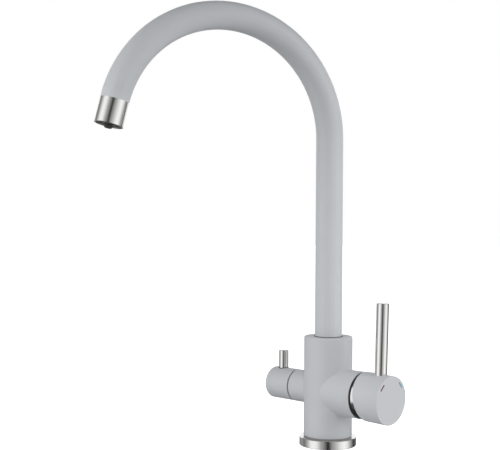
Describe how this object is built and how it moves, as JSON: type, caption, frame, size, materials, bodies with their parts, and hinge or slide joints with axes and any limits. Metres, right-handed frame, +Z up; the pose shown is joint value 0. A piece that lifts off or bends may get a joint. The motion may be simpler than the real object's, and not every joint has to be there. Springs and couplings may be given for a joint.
{
  "type": "kitchen mixer tap",
  "caption": "Deck-mounted swan-neck kitchen mixer tap with a side lever for hot and cold water and a small second lever for filtered water.",
  "frame": {"origin": "centre of the deck face, where the base ring rests on the worktop", "axes": "+Z up along the column, +X along the handle axis towards the mixing lever, -Y towards the user"},
  "size_m": [0.158, 0.2389, 0.4585],
  "materials": {
    "grey_coat": "matte light grey coat",
    "brushed_nickel": "brushed satin",
    "polished_chrome": "polished",
    "brass": "machined",
    "steel": "machined",
    "rubber": "matte",
    "white_plastic": "moulded",
    "black_plastic": "moulded",
    "technical_ceramic": "lapped",
    "hot_red": "enamel",
    "cold_blue": "enamel"
  },
  "bodies": {
    "root": {"body": "grey_coat", "inlet_sockets": "brass", "body_seal": "rubber", "base_ring": "brushed_nickel", "base_gasket": "rubber", "mounting_shank": "brass", "rubber_washer": "rubber", "steel_washer": "steel", "lock_nut": "brass", "spout_grub_screw": "steel", "cartridge_base": "white_plastic", "cartridge_seals": "rubber", "cartridge_housing": "white_plastic", "fixed_ceramic_disc": "technical_ceramic", "cartridge_nut": "brass", "dome_cover": "polished_chrome", "filter_headwork": "brass", "filter_seal": "rubber", "filter_fixed_disc": "technical_ceramic", "filter_slide_ring": "black_plastic"},
    "spout": {"spout_tube": "grey_coat", "spout_foot": "brass", "spout_slide_rings": "white_plastic", "spout_o_rings": "rubber", "inner_water_tube": "steel", "inner_tube_o_ring": "rubber", "aerator_housing": "brushed_nickel", "aerator_washer": "rubber", "aerator_insert": "black_plastic", "inner_nozzle": "black_plastic"},
    "mixer_rotor": {"cartridge_rotor": "white_plastic", "stem_pin": "steel"},
    "mixer_lever": {"cartridge_stem": "brass", "handle_hub": "grey_coat", "lever_rod": "brushed_nickel", "handle_grub_screw": "steel", "hot_mark": "hot_red", "cold_mark": "cold_blue"},
    "mixing_disc": {"disc_carrier": "white_plastic", "moving_ceramic_disc": "technical_ceramic"},
    "filter_valve": {"filter_spindle": "brass", "filter_moving_disc": "technical_ceramic", "filter_handle": "grey_coat", "filter_lever_rod": "brushed_nickel", "filter_handle_screw": "steel"}
  },
  "joints": [
    {"name": "spout_swivel", "type": "hinge", "parent": "root", "child": "spout", "pos_m": [0, 0, 0.085], "axis": [0, 0, 1], "continuous": true},
    {"name": "mixer_turn", "type": "hinge", "parent": "root", "child": "mixer_rotor", "pos_m": [0.036, 0, 0.0505], "axis": [1, 0, 0], "range_deg": [-50, 50]},
    {"name": "mixer_tilt", "type": "hinge", "parent": "mixer_rotor", "child": "mixer_lever", "pos_m": [0.039, 0, 0.0505], "axis": [0, 1, 0], "range_deg": [-1.4, 14.6]},
    {"name": "disc_slide", "type": "slide", "parent": "mixer_rotor", "child": "mixing_disc", "axis": [0, 0, 1], "range_m": [-0.0003, 0.0031]},
    {"name": "filter_turn", "type": "hinge", "parent": "root", "child": "filter_valve", "pos_m": [-0.036, 0, 0.0505], "axis": [1, 0, 0], "range_deg": [0, 90]}
  ],
  "couplings": [
    {"joint": "disc_slide", "follows": "mixer_tilt", "m_per_rad": 0.012}
  ]
}
